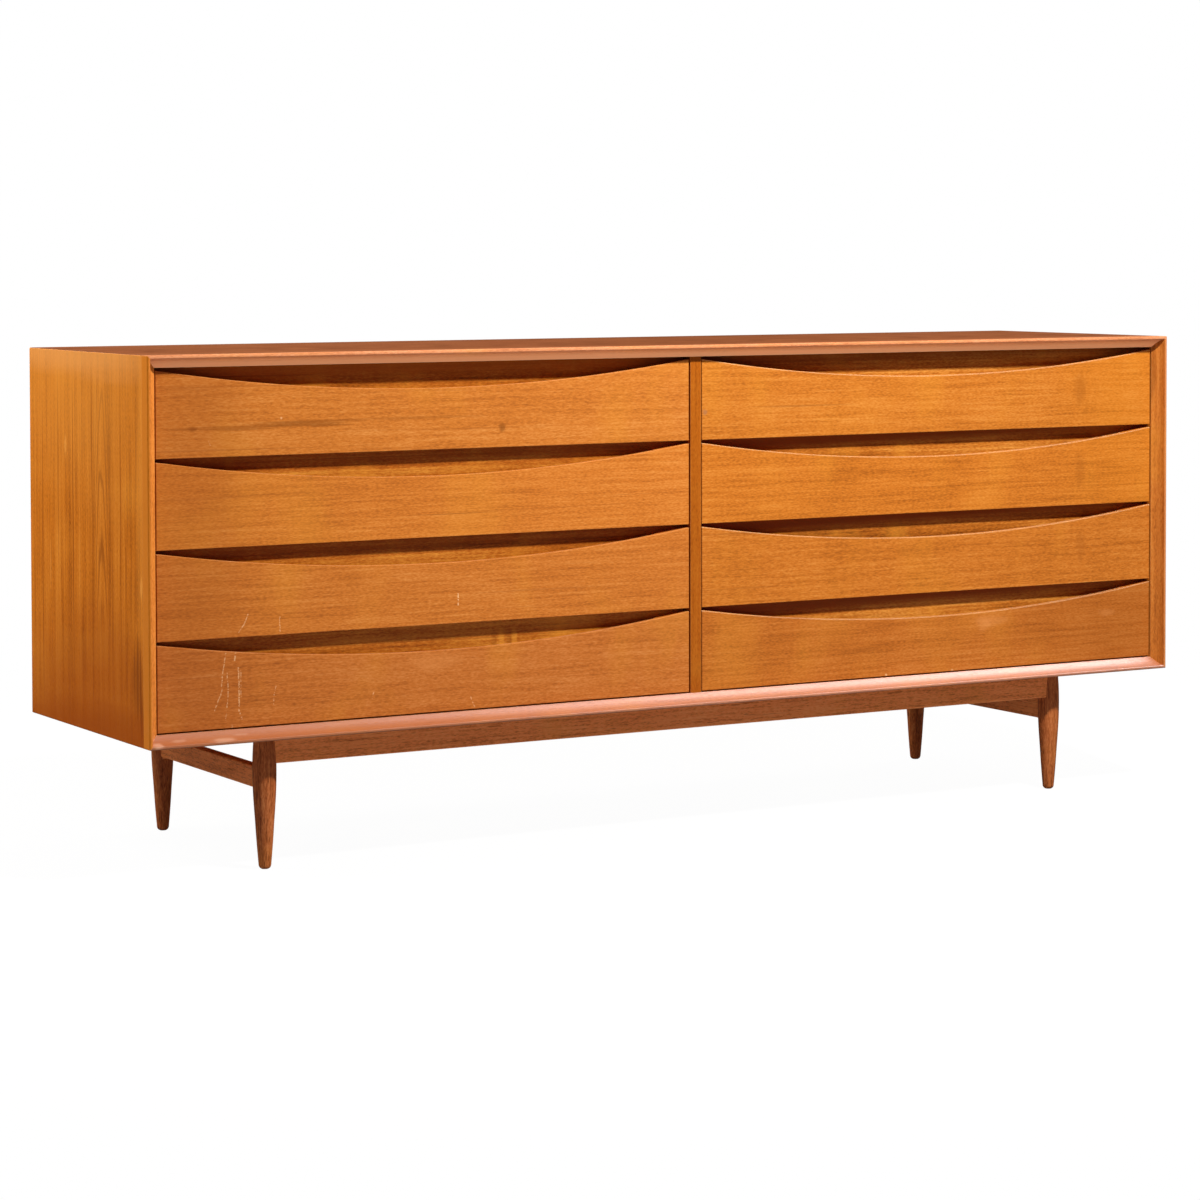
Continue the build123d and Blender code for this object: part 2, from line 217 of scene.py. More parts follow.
for name, lamp in LAMPS.items():
    mirrored = name == ONLY_MIRRORED
    data = bpy.data.lights.new(name, "AREA")
    data.shape = "RECTANGLE"
    data.size, data.size_y = lamp["size"]
    data.energy = lamp["watts"]
    data.color = SHEEN_COLOUR if mirrored else LAMP_COLOUR
    holder = bpy.data.objects.new(name, data)
    holder.location = lamp["place"]
    way = Vector(lamp["aim"]) - Vector(lamp["place"])
    holder.rotation_euler = way.to_track_quat("-Z", "Y").to_euler()
    holder.visible_camera = False
    holder.visible_diffuse, holder.visible_glossy = not mirrored, mirrored
    if name in LIT_ALONE:
        lit = bpy.data.collections.new(name + "_lights")
        lit.objects.link(nodes[LIT_ALONE[name]])
        holder.light_linking.receiver_collection = lit
    scene.collection.objects.link(holder)
print("lamps", list(LAMPS))

# %% Sky
SKY_COLOUR, SKY_LIGHT = (1.0, 0.64, 0.4, 1.0), 0.115
WHITE = (1.0, 1.0, 1.0, 1.0)

world = bpy.data.worlds.new("sky")
scene.world = world
world.use_nodes = True
graph = Graph(world.node_tree)
sky = world.node_tree.nodes["Background"]
graph.fill(sky, {"Color": SKY_COLOUR, "Strength": SKY_LIGHT})
white = graph.add("ShaderNodeBackground", {"Color": WHITE})
looking = graph.add("ShaderNodeLightPath", out="Is Camera Ray")
either = graph.add("ShaderNodeMixShader", {0: looking, 1: sky.outputs[0], 2: white})
graph.fill(world.node_tree.nodes["World Output"], {"Surface": either})
scene.view_settings.view_transform = "Standard"
print("sky of strength", SKY_LIGHT)

# %% [markdown]
# ## Teak
#
# Teak under oil is golden to orange brown. Several sizes of grain show: slow bands of lighter and darker
# wood, long narrow streaks, fine lines, short flecks and dark pores. All run along the board, so the group
# takes a place whose first number runs along the grain, and squeezes noise across it. A weak pattern across
# the grain is the shimmer that sliced veneer shows, and here and there a patch is more golden. The group is
# built once, and each board gives it its own colours and amounts.

# %% Teak sizes
# Along and across the grain, in steps of noise per metre.
GRAIN = {
    "Band": dict(along=0.9, across=7, detail=3.0, distortion=0.4),
    "Streak": dict(along=1.2, across=70, detail=4.0, distortion=0.2),
    "Line": dict(along=9, across=290, detail=2.5, distortion=0.0),
    "Fleck": dict(along=170, across=640, detail=1.5, distortion=0.0),
    "Mottle": dict(along=14, across=20, detail=3.0, distortion=0.0),
    "Shimmer": dict(along=13, across=1.5, detail=2.0, distortion=0.3),
}
GRAIN_AMOUNTS = dict(Band=0.18, Streak=0.14, Line=0.4, Fleck=0.5, Mottle=0.05, Shimmer=0.12)
PATCHES = {
    "Golden": dict(size=(9, 5, 5), detail=3.0, limits=(0.48, 0.72), colour="Gold"),
    "Vein": dict(size=(1.8, 210, 210), detail=2.0, limits=(0.63, 0.74), colour="Dark"),
    "Pore": dict(size=(42, 560, 560), detail=1.0, limits=(0.60, 0.72), colour="Dark"),
}
MIDDLE_TONE = 0.5
ROUGH_SWING, PORE_ROUGH, LINE_RELIEF = 0.25, 0.2, 0.5
print("teak with", len(GRAIN), "sizes of grain")

# %% Teak group
teak_inputs = {
    "Place": ("Vector", None),
    "Seed": ("Float", 0.0),
    "Dark": ("Color", screen(120, 62, 20)),
    "Middle": ("Color", screen(196, 112, 40)),
    "Light": ("Color", screen(222, 140, 62)),
    "Gold": ("Color", screen(226, 152, 52)),
    **numbers(Golden=0.2, Vein=0.35, Pore=0.1, Gloss=0.42, **GRAIN_AMOUNTS),
}
teak_outputs = {"Color": "Color", "Roughness": "Float", "Height": "Float"}
teak_group, graph, given, result = new_group("oiled_teak", teak_inputs, teak_outputs)
place, seed = given["Place"], given["Seed"]
tone, grain, masks = MIDDLE_TONE, {}, {}
for label, size in GRAIN.items():
    squeezed = graph.vector("MULTIPLY", place, (size["along"], size["across"], size["across"]))
    grain[label] = graph.noise(squeezed, seed, size["detail"], size["distortion"])
    whole_swing = graph.math("MULTIPLY", graph.swing(grain[label]), 2.0)
    tone = graph.math("MULTIPLY_ADD", whole_swing, given[label], tone)
colour = graph.mix(graph.remap(tone, 0.0, MIDDLE_TONE, kind="LINEAR"), given["Dark"], given["Middle"])
colour = graph.mix(graph.remap(tone, MIDDLE_TONE, 1.0, kind="LINEAR"), colour, given["Light"])
for label, patch in PATCHES.items():
    spots = graph.noise(graph.vector("MULTIPLY", place, patch["size"]), seed, patch["detail"])
    masks[label] = graph.remap(spots, *patch["limits"])
    amount = graph.math("MULTIPLY", masks[label], given[label])
    colour = graph.mix(amount, colour, given[patch["colour"]])
graph.feed(result["Color"], colour)
rough = graph.math("MULTIPLY_ADD", graph.swing(grain["Line"]), ROUGH_SWING, given["Gloss"])
graph.feed(result["Roughness"], graph.math("MULTIPLY_ADD", masks["Pore"], PORE_ROUGH, rough, clamp=True))
ridges = graph.math("MULTIPLY", grain["Line"], LINE_RELIEF)
graph.feed(result["Height"], graph.math("SUBTRACT", ridges, masks["Pore"]))
print("group", teak_group.name, "with", len(teak_group.nodes), "nodes")

# %% [markdown]
# ## Arched figure
#
# Where a veneer leaf is cut across the growth rings it shows nested arches along a spine. The arches are
# where height along the grain plus a square of the distance from the spine passes even steps, so one sine of
# that sum, bent a little by noise and faded away from the spine, draws them all.

# %% Arched figure group
WANDER_ALONG, WANDER_ACROSS, WANDER_TURNS = 7.0, 40.0, 1.6
FIGURE_CORE = 0.35
figure_inputs = numbers(Along=0.0, Across=0.0, Seed=0.0, Bend=218.0, Step=0.065, Reach=0.05, Sharpness=2.5)
figure_group, graph, given, result = new_group("arched_figure", figure_inputs, {"Mask": "Float"})
along, across = given["Along"], given["Across"]
slow, fast = graph.math("MULTIPLY", along, WANDER_ALONG), graph.math("MULTIPLY", across, WANDER_ACROSS)
wander = graph.noise(graph.join(slow, fast), given["Seed"], detail=3.0)
arch = graph.math("MULTIPLY_ADD", graph.math("MULTIPLY", across, across), given["Bend"], along)
steps = graph.math("DIVIDE", arch, given["Step"])
turns = graph.math("ADD", steps, graph.math("MULTIPLY", wander, WANDER_TURNS))
wave = graph.math("MULTIPLY_ADD", graph.math("SINE", graph.math("MULTIPLY", turns, 2 * pi)), 0.5, 0.5)
lines = graph.math("POWER", wave, given["Sharpness"])
far = graph.math("DIVIDE", graph.math("ABSOLUTE", across), given["Reach"])
graph.feed(result["Mask"], graph.math("MULTIPLY", lines, graph.remap(far, FIGURE_CORE, 1.0, 1.0, 0.0)))
print("group", figure_group.name)

# %% [markdown]
# ## Marks of use, and painted light
#
# An old dresser has soft stains and pale patches, fine scratches where things brushed past, and edges worn
# light. A soft patch is an ellipsoid round a point with an uneven rim; besides stains, it also lays painted
# shade, painted shadow and painted light. A scratch is the distance to a line between two points, shaken by
# noise and broken up along its length. A pale edge is where the normal, blurred over a small radius, turns
# away from the true one; it stands for worn edges and for painted highlights, and it can be kept to edges
# that look up. Each is a group, so every board can carry its own marks.

# %% Soft patch group
RIM_SWING, PATCH_CORE = 1.1, 0.25
patch_inputs = {
    "Place": ("Vector", None),
    "Centre": ("Vector", None),
    "Reach": ("Vector", (0.02, 0.02, 0.02)),
}
soft_patch_group, graph, given, result = new_group("soft_patch_tree", patch_inputs, {"Mask": "Float"})
apart = graph.vector("DIVIDE", graph.vector("SUBTRACT", given["Place"], given["Centre"]), given["Reach"])
rim = graph.swing(graph.noise(apart, seed=1.0, detail=3.0))
reached = graph.math("MULTIPLY_ADD", rim, RIM_SWING, graph.vector("LENGTH", apart, out="Value"))
graph.feed(result["Mask"], graph.remap(reached, PATCH_CORE, 1.0, 1.0, 0.0))
print("group", soft_patch_group.name)

# %% Scratch group
SHAKE_SCALE, GAP_SIZE = 60.0, (300, 300, 420)
THREAD_CORE, GAP_SOFTNESS = 0.3, 0.12
scratch_inputs = {
    "Place": ("Vector", None),
    "Start": ("Vector", None),
    "End": ("Vector", None),
    **numbers(Width=0.001, Wobble=0.004, Break=0.42),
}
scratch_group, graph, given, result = new_group("scratch", scratch_inputs, {"Mask": "Float"})
place, width = given["Place"], given["Width"]
noise = graph.add("ShaderNodeTexNoise", {"Vector": place, "Scale": SHAKE_SCALE}, out="Color")
shake = graph.vector("SUBTRACT", noise, (NOISE_MIDDLE, NOISE_MIDDLE, NOISE_MIDDLE))
wobble = graph.join(given["Wobble"], given["Wobble"], 0.0)
shaken = graph.vector("ADD", place, graph.vector("MULTIPLY", shake, wobble))
run = graph.vector("SUBTRACT", given["End"], given["Start"])
offset = graph.vector("SUBTRACT", shaken, given["Start"])
passed = graph.vector("DOT_PRODUCT", offset, run, out="Value")
share = graph.math("DIVIDE", passed, graph.vector("DOT_PRODUCT", run, run, out="Value"))
share = graph.math("MINIMUM", graph.math("MAXIMUM", share, 0.0), 1.0)
nearest = graph.add("ShaderNodeVectorMath", {0: run, "Scale": share}, operation="SCALE")
distance = graph.vector("LENGTH", graph.vector("SUBTRACT", offset, nearest), out="Value")
thread = graph.remap(distance, graph.math("MULTIPLY", width, THREAD_CORE), width, 1.0, 0.0)
gaps = graph.noise(graph.vector("MULTIPLY", place, GAP_SIZE), seed=3.0, detail=2.0)
unbroken = graph.remap(gaps, given["Break"], graph.math("ADD", given["Break"], GAP_SOFTNESS))
graph.feed(result["Mask"], graph.math("MULTIPLY", thread, unbroken))
print("group", scratch_group.name)

# %% Pale edge group
EDGE_SAMPLES, BREAKUP_SIZE = 6, (22, 60, 60)
TURN_LIMITS, BREAKUP_LIMITS, UPWARD_LIMITS = (0.99, 0.86), (0.36, 0.62), (0.1, 0.35)
edge_inputs = {"Place": ("Vector", None), **numbers(Reach=0.0012, Patchy=0.5, Upward=0.0)}
edge_group, graph, given, result = new_group("pale_edge_tree", edge_inputs, {"Mask": "Float"})
blurred = graph.add("ShaderNodeBevel", {"Radius": given["Reach"]}, samples=EDGE_SAMPLES)
true_normal = graph.add("ShaderNodeNewGeometry", out="Normal")
edge = graph.remap(graph.vector("DOT_PRODUCT", blurred, true_normal, out="Value"), *TURN_LIMITS)
breakup = graph.noise(graph.vector("MULTIPLY", given["Place"], BREAKUP_SIZE), seed=5.0, detail=3.0)
broken_off = graph.math("SUBTRACT", graph.remap(breakup, *BREAKUP_LIMITS), 1.0)
kept = graph.math("MULTIPLY_ADD", broken_off, given["Patchy"], 1.0)
not_upward = graph.math("SUBTRACT", graph.remap(graph.split(blurred)["Z"], *UPWARD_LIMITS), 1.0)
chosen = graph.math("MULTIPLY_ADD", not_upward, given["Upward"], 1.0)
graph.feed(result["Mask"], graph.math("MULTIPLY", graph.math("MULTIPLY", edge, kept), chosen))
print("group", edge_group.name)

# %% [markdown]
# ## One way to finish a board
#
# Every board takes the teak group along its own grain, then its figure, its marks and its pale edges, one
# colour mix over the other. Numbers that are the same all over, such as the strength of the reflection, are
# set on the shader itself. The coordinates are the object's own, so the grain stays with a drawer when it
# slides. A mark is a small record of its group, its sizes, its colour and its strength.

# %% Ways to mark a board
SCRATCH_COLOUR = screen(240, 190, 138)
# Pale edge colours: the first serves worn edges and painted highlights alike, the cream one is a painted
# highlight.
EDGE_WEAR_AND_GLINT, PAINTED_EDGE_HIGHLIGHT = screen(240, 176, 112), screen(252, 220, 176)
MARK_DEPTH, ENDLESS = 0.05, 9.0


def soft_patch(centre, reach, colour, strength):
    """A soft mark round a point, with its reach along each axis."""
    return dict(group=soft_patch_group, sizes=dict(Centre=centre, Reach=reach), colour=colour, strength=strength)


def scratch(start, end, width=0.0013, strength=0.7):
    """A thin pale line from one point to another."""
    sizes = dict(Start=start, End=end, Width=width)
    return dict(group=scratch_group, sizes=sizes, colour=SCRATCH_COLOUR, strength=strength)


def pale_edge_mark(strength, colour=EDGE_WEAR_AND_GLINT, **sizes):
    """Pale lines along the edges of a board: worn edges, and painted highlights where edges catch the light.
    """
    return dict(group=edge_group, sizes=sizes, colour=colour, strength=strength)


print("marks reach", MARK_DEPTH, "m deep")


# %% Layers of a finish
def new_material(name):
    """A material with a Principled shader. Returns it with its graph and the shader."""
    material = bpy.data.materials.new(name)
    material.use_nodes = True
    return material, Graph(material.node_tree), material.node_tree.nodes["Principled BSDF"]


def add_mark(graph, colour, mark, place):
    """Mix a mark over a colour."""
    mask = graph.use(mark["group"], {"Place": place, **mark["sizes"]})["Mask"]
    return graph.mix(graph.math("MULTIPLY", mask, mark["strength"]), colour, mark["colour"])


def add_figure(graph, colour, figure, along, across):
    """Mix arched figure over a colour. The places along and across the grain are sockets."""
    across = graph.math("SUBTRACT", across, figure["spine"])
    arches = graph.use(figure_group, {"Along": along, "Across": across, **figure["sizes"]})["Mask"]
    for low, high in figure["fade"]:
        arches = graph.math("MULTIPLY", arches, graph.remap(along, low, high))
    return graph.mix(graph.math("MULTIPLY", arches, figure["strength"]), colour, figure["colour"])


print("layers ready")

# %% Board finish
BUMP_STRENGTH, BUMP_DISTANCE = 0.25, 0.0004
SPECULAR, WAX_ROUGHNESS, WAX_IOR = 0.16, 0.52, 1.6
PLAIN_PALE_EDGES = (pale_edge_mark(0.35),)


def wood(
    name,
    along,
    colours,
    gloss=0.42,
    shine=SPECULAR,
    wax=0.0,
    rubs=PLAIN_PALE_EDGES,
    figures=(),
    marks=(),
    **amounts,
):
    """A wood finish. The grain runs along the first axis named; colours are dark, middle and light."""
    material, graph, shader = new_material(name)
    here = graph.add("ShaderNodeTexCoord", out="Object")
    axes = graph.split(here)
    place = graph.join(*[axes[axis] for axis in along])
    tones = {label: screen(*colour) for label, colour in zip(("Dark", "Middle", "Light"), colours)}
    made = graph.use(teak_group, {"Place": place, "Gloss": gloss, **tones, **amounts})
    colour = made["Color"]
    for figure in figures:
        colour = add_figure(graph, colour, figure, axes[along[0]], axes[along[1]])
    for mark in marks:
        colour = add_mark(graph, colour, mark, here)
    for edge_mark in rubs:
        colour = add_mark(graph, colour, edge_mark, place)
    relief = {"Strength": BUMP_STRENGTH, "Distance": BUMP_DISTANCE, "Height": made["Height"]}
    finish = {
        "Base Color": colour,
        "Roughness": made["Roughness"],
        "Normal": graph.add("ShaderNodeBump", relief),
        "Specular IOR Level": shine,
        "Coat Weight": wax,
        "Coat Roughness": WAX_ROUGHNESS,
        "Coat IOR": WAX_IOR,
    }
    graph.fill(shader, finish)
    return material


def dress(node, material):
    """Give a piece of the frame its finish."""
    nodes[node].data.materials.clear()
    nodes[node].data.materials.append(material)


print("board finish ready")

# %% [markdown]
# ## Drawer fronts
#
# The fronts are veneered with the grain lying along them, leaf after leaf from one log, so they share
# colours and differ in seed. The right column is a touch more golden than the left one, and the left one
# darkens towards its left end. Each row has a slight tint of its own. The marks are fine dark mineral
# streaks on the upper fronts, scratches on the lower left ones, and soft pale patches and smudges.

# %% Marks on the drawer faces
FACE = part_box("left_drawer_1_front")[0][1]
DARK_STREAK, SMUDGE, END_TONE = screen(120, 62, 18), screen(140, 72, 22), screen(146, 74, 28)
PALE_PATCH, SPECK, SUNNY = screen(226, 150, 84), screen(246, 196, 140), screen(222, 136, 34)
FILLER = screen(150, 110, 84)


def streak(x, z, reach, colour=DARK_STREAK, strength=0.4):
    """A soft mark on the drawer faces, round a point given in x and z."""
    return soft_patch((x, FACE, z), (reach[0], MARK_DEPTH, reach[1]), colour, strength)


def scrape(*points, **more):
    """A run of scratches on the drawer faces, through points given in x and z."""
    places = [(x, FACE, z) for x, z in points]
    return [scratch(start, end, **more) for start, end in zip(places, places[1:])]


FRONT_MARKS = {
    "left_drawer_1": [
        streak(-0.800, 0.6700, (0.130, 0.0035)),
        streak(-0.790, 0.6668, (0.080, 0.0022)),
        streak(-0.700, 0.6725, (0.110, 0.0040), strength=0.5),
        streak(-0.680, 0.6760, (0.120, 0.0024), strength=0.45),
        streak(-0.655, 0.6695, (0.060, 0.0022), strength=0.45),
        streak(-0.500, 0.6765, (0.150, 0.0030), strength=0.3),
        streak(-0.870, 0.6690, (0.010, 0.0045), strength=0.55),
        streak(-0.885, 0.6690, (0.040, 0.0016)),
        streak(-0.352, 0.6570, (0.008, 0.0095), strength=0.6),
        *scrape((-0.845, 0.651), (-0.842, 0.645), strength=0.5),
        streak(-0.727, 0.682, (0.0025, 0.0025), SPECK, 0.5),
    ],
    "left_drawer_2": [streak(-0.440, 0.527, (0.110, 0.0012), strength=0.45)],
    "left_drawer_3": [
        *scrape((-0.783, 0.391), (-0.790, 0.376), (-0.798, 0.365)),
        *scrape((-0.731, 0.384), (-0.731, 0.360)),
        *scrape((-0.430, 0.403), (-0.430, 0.386), width=0.0018, strength=0.9),
    ],
    "left_drawer_4": [
        *scrape((-0.819, 0.335), (-0.825, 0.300), (-0.826, 0.279), (-0.838, 0.251)),
        *scrape((-0.817, 0.306), (-0.816, 0.270), (-0.820, 0.236)),
        *scrape((-0.803, 0.334), (-0.805, 0.324), width=0.0018),
        *scrape((-0.799, 0.312), (-0.798, 0.282), (-0.798, 0.248), (-0.793, 0.236), width=0.0018),
        *scrape((-0.795, 0.308), (-0.795, 0.268), strength=0.5),
        *scrape((-0.810, 0.227), (-0.809, 0.221), width=0.0018, strength=0.8),
        *scrape((-0.738, 0.281), (-0.741, 0.268), (-0.741, 0.254), strength=0.55),
        *scrape((-0.575, 0.262), (-0.578, 0.252)),
        *scrape((-0.408, 0.242), (-0.402, 0.227), strength=0.5),
        streak(-0.470, 0.300, (0.060, 0.018), PALE_PATCH, 0.22),
    ],
    "right_drawer_1": [
        streak(0.200, 0.677, (0.130, 0.0022), strength=0.35),
        streak(0.776, 0.690, (0.018, 0.036), SMUDGE),
        streak(0.890, 0.690, (0.200, 0.200), SUNNY, 0.26),
        streak(0.018, 0.671, (0.006, 0.006), FILLER, 0.5),
    ],
    "right_drawer_2": [
        streak(0.776, 0.550, (0.015, 0.040), SMUDGE, 0.3),
        streak(0.890, 0.560, (0.180, 0.200), SUNNY, 0.18),
    ],
    "right_drawer_3": [streak(0.778, 0.420, (0.013, 0.036), SMUDGE, 0.25)],
    "right_drawer_4": [
        streak(0.590, 0.303, (0.045, 0.012), PALE_PATCH, 0.3),
        streak(0.572, 0.298, (0.020, 0.016), PALE_PATCH, 0.25),
        streak(0.835, 0.303, (0.025, 0.008), PALE_PATCH, 0.3),
        streak(0.330, 0.270, (0.040, 0.006), SMUDGE, 0.3),
        streak(0.372, 0.225, (0.003, 0.003), SPECK, 0.7),
        streak(0.507, 0.224, (0.003, 0.003), SPECK, 0.5),
        streak(0.930, 0.280, (0.420, 0.300), SMUDGE, 0.22),
    ],
}
END_MARKS = {"left": [streak(-0.945, 0.47, (0.22, 2.0), END_TONE, 0.28)], "right": []}
print("marks on", list(FRONT_MARKS))

# %% Drawer fronts
FRONT_COLOURS = {
    "left": ((144, 77, 28), (197, 116, 44), (220, 147, 73)),
    "right": ((133, 70, 20), (194, 113, 37), (218, 145, 65)),
}
ROW_TINTS = ((1.0, 1.0, 1.05), (1.05, 1.03, 1.0), (1.0, 0.97, 1.02), (0.93, 0.87, 1.05))
# Pale edges of the fronts. The cream lines on the upward lips are painted highlights, brighter on the right
# column, which catches the light from the right.
FRONT_EDGES = {
    "left": (pale_edge_mark(0.3), pale_edge_mark(0.5, PAINTED_EDGE_HIGHLIGHT, Reach=0.0022, Upward=1.0)),
    "right": (pale_edge_mark(0.3), pale_edge_mark(0.95, PAINTED_EDGE_HIGHLIGHT, Reach=0.0032, Upward=1.0, Patchy=0.2)),
}
FRONT_SEEDS, SEED_STEP = {"left": 3.1, "right": 8.4}, 0.37
SCREEN_GAMMA = 2.2


def tinted(colour, tint):
    """A screen colour whose light is scaled by a tint."""
    return [part * share ** (1 / SCREEN_GAMMA) for part, share in zip(colour, tint)]


for column, colours in FRONT_COLOURS.items():
    for row, tint in enumerate(ROW_TINTS, 1):
        drawer = f"{column}_drawer_{row}"
        toned = [tinted(colour, tint) for colour in colours]
        marks = FRONT_MARKS[drawer] + END_MARKS[column]
        looks = dict(marks=marks, rubs=FRONT_EDGES[column], Seed=FRONT_SEEDS[column] + SEED_STEP * row)
        dress(f"{drawer}_front", wood(f"{drawer}_teak", "XZY", toned, **looks))
print("fronts dressed")

# %% [markdown]
# ## Boards behind the scoops
#
# Behind each scoop the front board of the drawer box shows as a narrow golden strip. It is solid wood with a
# livelier figure than the veneer. Its upper part, where the drawer above casts its shadow, carries painted
# shade, dark brown and on the top left board redder, and on the right column this painted shade fades
# towards the right end. On the lowest left drawer a small knot bends the grain into upright bands.

# %% Boards behind the scoops
INNER_COLOURS = {
    "left": ((98, 43, 9), (175, 96, 28), (215, 143, 56)),
    "right": ((104, 48, 11), (184, 107, 34), (226, 157, 70)),
}
INNER_GRAIN = dict(Band=0.5, Streak=0.7, Golden=0.6, Vein=0.6)
# Painted shade laid along the top of each board, where the drawer above casts its shadow, listed by row. The
# redder colour is painted shade on the top left board.
PAINTED_SHADE, PAINTED_RED_SHADE = screen(142, 62, 14), screen(192, 93, 25)
SHADE_PAINT = {
    "left": ((PAINTED_RED_SHADE, 0.7), (PAINTED_SHADE, 0.45), (PAINTED_SHADE, 0.45), (PAINTED_SHADE, 0.1)),
    "right": ((PAINTED_SHADE, 0.6), (PAINTED_SHADE, 0.95), (PAINTED_SHADE, 1.0), (PAINTED_SHADE, 0.95)),
}
SHADE_PAINT_ALONG, SHADE_PAINT_DEPTH, SHADE_PAINT_HEIGHT = {"left": ENDLESS, "right": 1.3}, 0.003, 0.027
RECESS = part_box("left_drawer_1_inner_front")[0][1]
KNOT_DARK, KNOT_LIGHT = screen(120, 58, 10), screen(236, 164, 60)
KNOT_BANDS = [(-0.358, KNOT_DARK), (-0.345, KNOT_LIGHT), (-0.331, KNOT_DARK), (-0.322, KNOT_LIGHT)]
KNOT_HEIGHT, KNOT_REACH, KNOT_STRENGTH = 0.325, (0.007, MARK_DEPTH, 0.022), 0.35
SEED_COUNT = 17

knot = [soft_patch((x, RECESS, KNOT_HEIGHT), KNOT_REACH, colour, KNOT_STRENGTH) for x, colour in KNOT_BANDS]
for name in nodes:
    if name.endswith("_inner_front"):
        column, row = name.split("_")[0:3:2]
        low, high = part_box(name)
        colour, strength = SHADE_PAINT[column][int(row) - 1]
        reach = (SHADE_PAINT_ALONG[column], SHADE_PAINT_DEPTH, SHADE_PAINT_HEIGHT)
        # Painted shade from the top edge of the board down.
        marks = [soft_patch((low[0], RECESS, high[2]), reach, colour, strength)]
        marks += knot if name.startswith("left_drawer_4") else []
        number = sum(ord(letter) for letter in name) % SEED_COUNT
        looks = dict(marks=marks, rubs=(pale_edge_mark(0.2),), Seed=number, **INNER_GRAIN)
        dress(name, wood(f"{name}_teak", "XZY", INNER_COLOURS[column], **looks))
print("inner boards dressed")

# %% [markdown]
# ## Case
#
# The ends of the case are veneered with the grain upright and a run of nested arches up one leaf. The top,
# the bottom and the back have it lying along them. The end that shows is lighter and yellower at the top and
# darker and redder near the floor, partly the wood's own tone and partly painted light and painted shade; it
# has a pale band along its top and is worn along its front edge. Low by the front edge are grimy streaks,
# where it was carried.

# %% Marks on the left end
LEFT_FACE = cad_box[0][0]
ARCH_COLOUR, GRIME, PALE_SPOT = screen(130, 62, 10), screen(110, 58, 18), screen(230, 156, 70)
# The first two colours here lighten the top, partly as painted light from above; the colour on the next line
# darkens and reddens the bottom, partly as painted shade.
TOP_FADE_AND_LIGHT, PALE_TOP_BAND, WORN = screen(216, 144, 58), screen(226, 160, 94), screen(234, 152, 58)
LOW_RED_AND_SHADE = screen(150, 66, 10)


def end_mark(y, z, reach, colour, strength):
    """A soft mark on the left end of the case, round a point given in y and z."""
    return soft_patch((LEFT_FACE, y, z), (MARK_DEPTH, *reach), colour, strength)


side_marks = [
    # Lighter and yellower at the top, with a pale band along it: partly the wood's own tone, partly painted
    # light.
    end_mark(0.0, 0.80, (0.45, 0.30), TOP_FADE_AND_LIGHT, 0.35),
    end_mark(0.0, 0.79, (0.60, 0.06), PALE_TOP_BAND, 0.4),
    end_mark(-0.225, 0.56, (0.040, 0.36), WORN, 0.35),
    end_mark(0.058, 0.50, (0.003, 0.30), ARCH_COLOUR, 0.7),
    end_mark(0.187, 0.46, (0.004, 0.34), ARCH_COLOUR, 0.45),
    end_mark(-0.134, 0.52, (0.003, 0.30), ARCH_COLOUR, 0.45),
    end_mark(0.120, 0.60, (0.004, 0.18), ARCH_COLOUR, 0.4),
    end_mark(-0.020, 0.66, (0.003, 0.12), ARCH_COLOUR, 0.45),
    end_mark(-0.100, 0.40, (0.004, 0.16), ARCH_COLOUR, 0.4),
    end_mark(-0.195, 0.295, (0.030, 0.075), GRIME, 0.35),
    end_mark(-0.196, 0.300, (0.006, 0.085), GRIME, 0.7),
    end_mark(-0.207, 0.285, (0.005, 0.070), GRIME, 0.65),
    end_mark(-0.184, 0.310, (0.004, 0.055), GRIME, 0.55),
    end_mark(-0.212, 0.245, (0.007, 0.045), GRIME, 0.6),
    end_mark(-0.212, 0.438, (0.006, 0.022), PALE_SPOT, 0.6),
    # Darker and redder near the floor: partly the wood's own tone, partly painted shade.
    end_mark(0.0, 0.20, (0.45, 0.24), LOW_RED_AND_SHADE, 0.55),
    end_mark(-0.06, 0.195, (0.50, 0.07), LOW_RED_AND_SHADE, 0.6),
    end_mark(0.088, 0.634, (0.006, 0.020), PALE_SPOT, 0.5),
    end_mark(0.154, 0.442, (0.003, 0.050), PALE_SPOT, 0.35),
]
print(len(side_marks), "marks on the left end")

# %% Case
SIDE_COLOURS = ((126, 61, 11), (194, 109, 24), (214, 136, 49))
TOP_COLOURS = ((84, 38, 16), (140, 78, 44), (172, 108, 70))
BACK_COLOURS = ((112, 60, 26), (168, 100, 50), (190, 122, 68))
DIVIDER_COLOURS = ((114, 53, 8), (168, 88, 18), (186, 108, 30))
TOP_ARCH, BACK_ARCH = screen(84, 36, 12), screen(120, 66, 30)


def figure(spine, strength, colour, fade=(), **sizes):
    """Arched figure along a spine, faded in or out between places along the grain."""
    return dict(spine=spine, strength=strength, colour=colour, fade=fade, sizes=sizes)


side_fade = ((0.34, 0.44), (0.76, 0.70))
side_figures = [
    figure(-0.059, 0.65, ARCH_COLOUR, side_fade, Bend=300.0, Step=0.11, Reach=0.06, Sharpness=4.0),
]
top_figures = [
    figure(-0.05, 0.4, TOP_ARCH, Bend=30.0, Step=0.10, Reach=0.14, Seed=4.0),
    figure(0.16, 0.3, TOP_ARCH, Bend=60.0, Step=0.12, Reach=0.08, Seed=9.0),
]
back_figures = [figure(0.5, 0.3, BACK_ARCH, Bend=22.0, Step=0.11, Reach=0.2)]
side_looks = dict(figures=side_figures, marks=side_marks, shine=0.12, Streak=0.55)
top_looks = dict(figures=top_figures, gloss=0.38, shine=0.3, Seed=2.0, Streak=0.45, Golden=0.0)
back_looks = dict(figures=back_figures, gloss=0.55, rubs=(), Seed=6.0)
